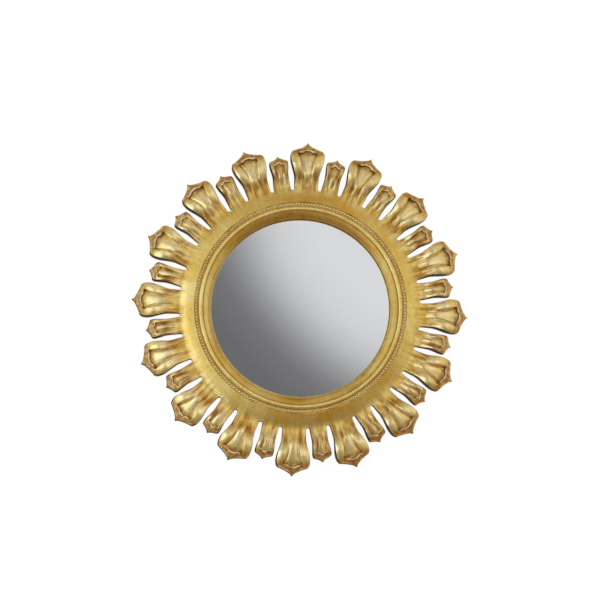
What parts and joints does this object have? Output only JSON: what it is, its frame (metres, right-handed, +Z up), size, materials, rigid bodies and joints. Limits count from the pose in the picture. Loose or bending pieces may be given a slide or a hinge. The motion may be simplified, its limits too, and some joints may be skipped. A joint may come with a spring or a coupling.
{
  "type": "convex wall mirror",
  "caption": "Round convex wall mirror in a gilt frame of carved petals, with swinging rings to hang it by.",
  "frame": {"origin": "where the mirror's axis meets the wall: the middle of the frame in X and Z, on the plane that the wall bumpers touch", "axes": "the mirror faces -Y, the wall is behind it at +Y, +Z is up, and +X is to the right as seen from the front"},
  "size_m": [0.8334, 0.0816, 0.8334],
  "materials": {
    "petal_gilding": "carved wood, gold leaf over bole, brushed and lightly patinated",
    "moulding_gilding": "turned wood, burnished gold leaf",
    "bead_gilding": "gilt beading, rubbed on its crowns",
    "mirror_glass": "bulged glass, silvered on its back",
    "felt": "dark felt strip",
    "core_wood": "sealed plywood",
    "spacer_wood": "bent softwood strip",
    "board": "hardboard, smooth side out",
    "screw_brass": "plain brass",
    "hanger_steel": "zinc-plated steel",
    "bumper_rubber": "soft black rubber"
  },
  "bodies": {
    "frame": {"core_ring": "core_wood", "sight_moulding": "moulding_gilding", "bead_ring": "bead_gilding", "petal_large_01": "petal_gilding", "petal_large_02": "petal_gilding", "petal_large_03": "petal_gilding", "petal_large_04": "petal_gilding", "petal_large_05": "petal_gilding", "petal_large_06": "petal_gilding", "petal_large_07": "petal_gilding", "petal_large_08": "petal_gilding", "petal_large_09": "petal_gilding", "petal_large_10": "petal_gilding", "petal_large_11": "petal_gilding", "petal_large_12": "petal_gilding", "petal_large_13": "petal_gilding", "petal_large_14": "petal_gilding", "petal_large_15": "petal_gilding", "petal_large_16": "petal_gilding", "petal_small_01": "petal_gilding", "petal_small_02": "petal_gilding", "petal_small_03": "petal_gilding", "petal_small_04": "petal_gilding", "petal_small_05": "petal_gilding", "petal_small_06": "petal_gilding", "petal_small_07": "petal_gilding", "petal_small_08": "petal_gilding", "petal_small_09": "petal_gilding", "petal_small_10": "petal_gilding", "petal_small_11": "petal_gilding", "petal_small_12": "petal_gilding", "petal_small_13": "petal_gilding", "petal_small_14": "petal_gilding", "petal_small_15": "petal_gilding", "petal_small_16": "petal_gilding", "convex_mirror": "mirror_glass", "glass_felt": "felt", "spacer_ring": "spacer_wood", "backing_board": "board", "board_screw_1": "screw_brass", "board_screw_2": "screw_brass", "board_screw_3": "screw_brass", "board_screw_4": "screw_brass", "board_screw_5": "screw_brass", "board_screw_6": "screw_brass", "board_screw_7": "screw_brass", "board_screw_8": "screw_brass", "strap_screw_1": "hanger_steel", "strap_screw_2": "hanger_steel", "strap_screw_3": "hanger_steel", "strap_screw_4": "hanger_steel", "strap_left": "hanger_steel", "strap_right": "hanger_steel", "bumper_left": "bumper_rubber", "bumper_right": "bumper_rubber"},
    "ring_left": {"d_ring_left": "hanger_steel"},
    "ring_right": {"d_ring_right": "hanger_steel"}
  },
  "joints": [
    {"name": "left_ring_swing", "type": "hinge", "parent": "frame", "child": "ring_left", "pos_m": [-0.25146, -0.00415, 0.11952], "axis": [1, 0, 0], "range_deg": [0, 180]},
    {"name": "right_ring_swing", "type": "hinge", "parent": "frame", "child": "ring_right", "pos_m": [0.25146, -0.00415, 0.11952], "axis": [1, 0, 0], "range_deg": [0, 180]}
  ]
}
